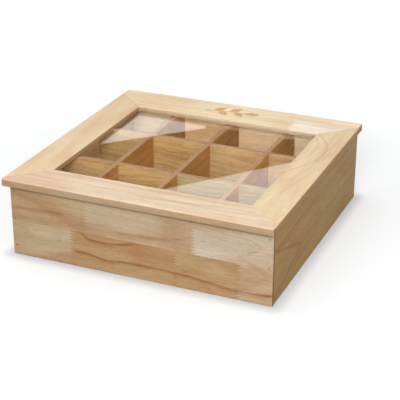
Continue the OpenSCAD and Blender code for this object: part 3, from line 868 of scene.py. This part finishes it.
# where each leaf starts, its turn in degrees, and its length and width
leaves = [
    ((-27.0, 128.4), 50, 20.0, 9.5), ((-19.0, 129.8), -46, 17.0, 8.5),
    ((-8.0, 131.0), 48, 20.0, 9.5), ((0.0, 131.7), -42, 17.0, 8.5),
    ((11.0, 132.3), 5, 21.0, 9.5),
]
for base, turn, length, width in leaves:
    cut_leaf(cutter, base, turn, length, width, rib=1.0)
bmesh.ops.recalc_face_normals(cutter, faces=cutter.faces[:])
cutter_mesh = bpy.data.meshes.new("sprig_cutter")
cutter.to_mesh(cutter_mesh)
cutter.free()

browned, tree = new_finish("browned_cut")
coords = place(tree, "ShaderNodeTexCoord")
spot = vectors(tree, "MULTIPLY", coords.outputs["Object"], IN_MM)
char = noise(tree, spot, (0.25, 1.1, 1.1), 3.0, 0.6).ease(0.3, 0.7)
scorch = blend(tree, char, srgb(208, 170, 122), srgb(188, 148, 98))
ridges = noise(tree, spot, (1.4, 1.4, 1.4))
close_finish(tree, ridges, 0.4, 0.1 * MM, {
    "Base Color": scorch, "Roughness": char * 0.15 + 0.62, "Specular IOR Level": 0.2})
cutter_mesh.materials.append(browned)
cutter_body = put_in_scene("sprig_cutter", cutter_mesh)

board = bmesh.new()
board.from_mesh(nodes["lid_back_rail"].data)
bmesh.ops.remove_doubles(board, verts=board.verts, dist=SAME_SPOT)
board_mesh = bpy.data.meshes.new("back_rail_blank")
board.to_mesh(board_mesh)
board.free()
board_mesh.materials.clear()
board_mesh.materials.append(back_rail_wood)
blank = put_in_scene("back_rail_blank", board_mesh)
carve = blank.modifiers.new("carve", "BOOLEAN")
carve.operation = "DIFFERENCE"
carve.solver = "EXACT"
carve.use_self = True
carve.material_mode = "TRANSFER"
carve.object = cutter_body
seen_now = bpy.context.evaluated_depsgraph_get()
carved_mesh = bpy.data.meshes.new_from_object(blank.evaluated_get(seen_now), depsgraph=seen_now)
carved_mesh.name = "lid_back_rail_carved"
blank.modifiers.remove(carve)
bpy.data.objects.remove(blank)
bpy.data.objects.remove(cutter_body)
carved_mesh.shade_smooth()
carved_mesh.set_sharp_from_angle(angle=math.radians(25))
carved_rail = put_in_scene("lid_back_rail_carved", carved_mesh)
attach(carved_rail, "lid")
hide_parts("lid_back_rail")


# ---- Pane ----------------------------------------------------------------
# A polished sheet of clear acrylic, laid in the lid's rebate from below and held there by ten short
# sprigs of steel wire pushed into the rails.

pane, tree = new_finish("clear_pane")
coords = place(tree, "ShaderNodeTexCoord")
dust = noise(tree, coords.outputs["Object"], (900.0, 900.0, 900.0))
acrylic = place(tree, "ShaderNodeBsdfPrincipled", {
    "Base Color": srgb(255, 255, 255), "Roughness": 0.0, "IOR": 1.49, "Transmission Weight": 1.0,
    "Normal": relief(tree, dust, 0.02, 0.02 * MM)})
shadow_ray = place(tree, "ShaderNodeLightPath").outputs["Is Shadow Ray"]
lets_light_by = place(tree, "ShaderNodeBsdfTransparent")
mixed = place(tree, "ShaderNodeMixShader", {0: shadow_ray, 1: acrylic, 2: lets_light_by})
place(tree, "ShaderNodeOutputMaterial", {"Surface": mixed})
dress("lid_pane", pane)

sprig_wire = small_metal("sprig_wire", srgb(214, 210, 202), srgb(140, 132, 120), 0.3, 0.22)
dress("pane_sprigs", sprig_wire)


# ---- Studio: floor, lamps, surroundings and camera -----------------------
# A pale seamless floor, three soft round lamps and an even pale surround. A tent inside the lamps and
# a dark card behind the box show only in what the pane and the metal mirror.

FLOOR_REACH = 4.0
FLOOR_TOP = -0.3 * MM
BOX_HALF = (0.15, 0.145, 0.0)
BOX_MIDDLE = Vector((0, 0, 0.05))
PAPER_LIT = (0.12, 0.12, 0.12, 1.0)  # what the paper throws back on the box
PAPER_SEEN = (0.487, 0.497, 0.502, 1.0)  # what the paper looks like
WHITE = (1, 1, 1, 1)


def looked_at(tree):
    """1 where the camera, a reflection or the pane looks straight at a surface, 0 for its light."""
    path = fields_of(tree, place(tree, "ShaderNodeLightPath"))
    seen = maths(tree, "MAXIMUM", path["Is Camera Ray"], path["Is Glossy Ray"])
    seen = maths(tree, "MAXIMUM", seen, path["Is Transmission Ray"])
    return seen * maths(tree, "LESS_THAN", path["Diffuse Depth"], 0.5)


def length_of(tree, vector):
    node = place(tree, "ShaderNodeVectorMath", {0: vector}, operation="LENGTH")
    return Field(tree, node.outputs["Value"])


floor_mesh = bpy.data.meshes.new("floor")
floor_corners = [(x * FLOOR_REACH, y * FLOOR_REACH, FLOOR_TOP)
                 for x, y in ((-1, -1), (1, -1), (1, 1), (-1, 1))]
floor_mesh.from_pydata(floor_corners, [], [(0, 1, 2, 3)])
floor = put_in_scene("floor", floor_mesh)
floor_finish, tree = new_finish("floor_paper")
seen = looked_at(tree)
tone = blend(tree, seen, PAPER_LIT, PAPER_SEEN)
paper = place(tree, "ShaderNodeBsdfDiffuse", {"Color": tone})
coords = place(tree, "ShaderNodeTexCoord")
away = length_of(tree, coords.outputs["Object"])
beside = vectors(tree, "SUBTRACT", vectors(tree, "ABSOLUTE", coords.outputs["Object"]), BOX_HALF)
beside = length_of(tree, vectors(tree, "MAXIMUM", beside, (0.0, 0.0, 0.0)))
# the paper's glow is weaker close to the box's outline, a painted shadow round its foot, and brightens
# away from it
glow_with_painted_shadow = beside.ease(0.0, 0.018, 0.21, 0.47) + away.ease(0.26, 0.8, 0.0, 0.43)
lift = place(tree, "ShaderNodeEmission", {"Color": WHITE, "Strength": seen * glow_with_painted_shadow})
both = place(tree, "ShaderNodeAddShader", {0: paper, 1: lift})
place(tree, "ShaderNodeOutputMaterial", {"Surface": both})
floor_mesh.materials.append(floor_finish)

world = bpy.data.worlds.new("studio_surround")
bpy.context.scene.world = world
world.use_nodes = True
tree = world.node_tree
tree.nodes.clear()
strength = looked_at(tree).ease(0.0, 1.0, 0.50, 1.0)
surround = place(tree, "ShaderNodeBackground", {"Color": WHITE, "Strength": strength})
place(tree, "ShaderNodeOutputWorld", {"Surface": surround})


def soft_lamp(name, spot, size, watts):
    """A round soft lamp aimed at the middle of the box."""
    data = bpy.data.lights.new(name, "AREA")
    data.shape = "DISK"
    data.size = size
    data.energy = watts
    lamp = put_in_scene(name, data)
    lamp.location = spot
    lamp.rotation_euler = (BOX_MIDDLE - Vector(spot)).to_track_quat("-Z", "Y").to_euler()
    lamp.visible_glossy = False


soft_lamp("top_lamp", (-0.50, 0.15, 1.50), 1.2, 6.2)
soft_lamp("front_lamp", (0.38, -1.32, 0.87), 0.6, 17.7)
soft_lamp("side_lamp", (0.95, -0.70, 1.25), 0.6, 2.2)


def mirrored_in(tree):
    """1 for what the polished pane mirrors, 0 for everything else."""
    path = fields_of(tree, place(tree, "ShaderNodeLightPath"))
    return path["Is Singular Ray"] * path["Glossy Depth"].above(0.5)


def hang_screen(name, mesh, mask_of, tone_of):
    """A card or tent that throws no shadow and shows only to the rays that its mask lets see it."""
    screen = put_in_scene(name, mesh)
    screen.visible_camera = False
    screen.visible_diffuse = False
    screen.visible_shadow = False
    finish, tree = new_finish(name + "_cloth")
    clear = place(tree, "ShaderNodeBsdfTransparent")
    cloth = place(tree, "ShaderNodeEmission", {"Color": WHITE, "Strength": tone_of(tree)})
    shown = place(tree, "ShaderNodeMixShader", {0: mask_of(tree), 1: clear, 2: cloth})
    place(tree, "ShaderNodeOutputMaterial", {"Surface": shown})
    mesh.materials.append(finish)


# the tent: pale cloth inside the lamps, so that no lamp shows in the pane or the metal
TENT_RADIUS = 1.25
tent_shape = bmesh.new()
bmesh.ops.create_icosphere(tent_shape, subdivisions=4, radius=TENT_RADIUS)
tent_mesh = bpy.data.meshes.new("tent")
tent_shape.to_mesh(tent_mesh)
tent_shape.free()
hang_screen("tent", tent_mesh, looked_at, lambda tree: mirrored_in(tree) * 0.22 + 1.0)

# the flag: a dark card that only the polished pane mirrors
VIEW_AZIMUTH = math.radians(23.016)
FLAG_AWAY = 0.70
flag_outline = [(-274, 398), (-171, 358), (17, 327), (29, 297), (235, 326), (237, 375), (-99, 454),
                (-278, 466)]
flag_side = Vector((math.cos(VIEW_AZIMUTH), math.sin(VIEW_AZIMUTH), 0))
flag_foot = Vector((-math.sin(VIEW_AZIMUTH), math.cos(VIEW_AZIMUTH), 0)) * FLAG_AWAY
flag_mesh = bpy.data.meshes.new("flag")
flag_corners = [flag_foot + flag_side * side * MM + Vector((0, 0, up * MM))
                for side, up in flag_outline]
flag_mesh.from_pydata(flag_corners, [], [range(len(flag_corners))])
hang_screen("flag", flag_mesh, mirrored_in, lambda tree: 0.03)

# the camera: a view down on the box from its front right
VIEW_HEIGHT = math.radians(24.923)
VIEW_ROLL = math.radians(0.143)
VIEW_AWAY = 1.33569
view_aim = Vector((0.01655, -0.01723, 0.040))
back_to_lens = Vector((math.sin(VIEW_AZIMUTH) * math.cos(VIEW_HEIGHT),
                       -math.cos(VIEW_AZIMUTH) * math.cos(VIEW_HEIGHT), math.sin(VIEW_HEIGHT)))
camera_data = bpy.data.cameras.new("camera")
camera_data.sensor_width = 36.0
camera_data.lens = 107.145
camera_data.clip_start = 0.01
camera = put_in_scene("camera", camera_data)
camera.location = view_aim + back_to_lens * VIEW_AWAY
camera.rotation_mode = "QUATERNION"
level_look = (-back_to_lens).to_track_quat("-Z", "Y")
camera.rotation_quaternion = level_look @ Matrix.Rotation(VIEW_ROLL, 3, "Z").to_quaternion()
bpy.context.scene.camera = camera
bpy.context.scene.view_settings.view_transform = "Standard"
